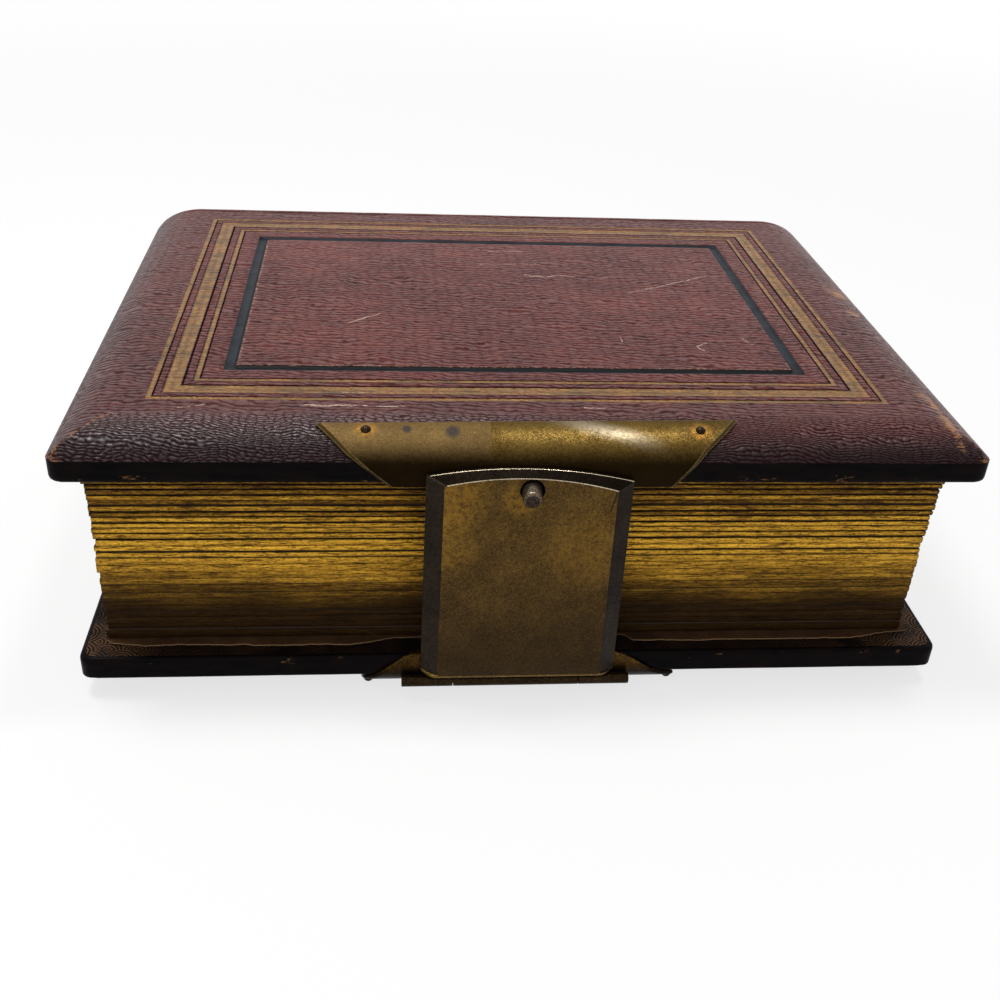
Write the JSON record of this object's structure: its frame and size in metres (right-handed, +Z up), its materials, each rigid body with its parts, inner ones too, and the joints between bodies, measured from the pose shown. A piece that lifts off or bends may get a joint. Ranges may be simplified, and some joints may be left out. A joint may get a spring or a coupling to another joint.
{
  "type": "antique photo album",
  "caption": "Small leather-bound photo album with cushion-bevelled covers, a thick block of card leaves, and a hinged brass clasp that snaps over a stud.",
  "frame": {"origin": "on the surface that the album lies on, under the middle of the back cover", "axes": "+X along the fore edge, to the right when the clasp faces the viewer; +Y from the fore edge back to the spine; +Z up through the covers"},
  "size_m": [0.155, 0.1255, 0.0524],
  "materials": {
    "cover_leather": "straight-grained maroon leather, gilt tooled, worn to tan at the corners",
    "millboard": "grey-brown millboard",
    "endpaper": "embossed bronze paper, darkened",
    "gilt_leaves": "thick card leaves with gilt edges",
    "flyleaf_paper": "browned and torn paper",
    "linen": "glued linen",
    "sewn_band": "wound thread",
    "aged_brass": "tarnished, mottled brown and gold",
    "hinge_wire": "dark drawn wire"
  },
  "bodies": {
    "back_cover": {"back_board": "millboard", "back_cover_leather": "cover_leather", "back_pastedown": "endpaper", "hinge_plate": "aged_brass", "hinge_pin": "hinge_wire", "hinge_plate_nail_left": "aged_brass", "hinge_plate_nail_right": "aged_brass"},
    "block": {"page_block": "gilt_leaves", "front_flyleaf": "flyleaf_paper", "back_flyleaf": "flyleaf_paper", "spine_lining": "linen", "spine_strip": "millboard", "spine_leather": "cover_leather", "headband": "sewn_band", "tailband": "sewn_band"},
    "front_cover": {"front_board": "millboard", "front_cover_leather": "cover_leather", "front_pastedown": "endpaper", "catch_plate": "aged_brass", "catch_stud": "aged_brass", "catch_plate_nail_left": "aged_brass", "catch_plate_nail_right": "aged_brass"},
    "clasp": {"clasp_plate": "aged_brass"}
  },
  "joints": [
    {"name": "back_cover_hinge", "type": "hinge", "parent": "back_cover", "child": "block", "pos_m": [0, 0.057, 0], "axis": [-1, 0, 0], "range_deg": [0, 180]},
    {"name": "front_cover_hinge", "type": "hinge", "parent": "block", "child": "front_cover", "pos_m": [0, 0.057, 0.0516], "axis": [-1, 0, 0], "range_deg": [0, 180]},
    {"name": "clasp_hinge", "type": "hinge", "parent": "back_cover", "child": "clasp", "pos_m": [0, -0.05895, 0.004], "axis": [1, 0, 0], "range_deg": [0, 180]}
  ]
}
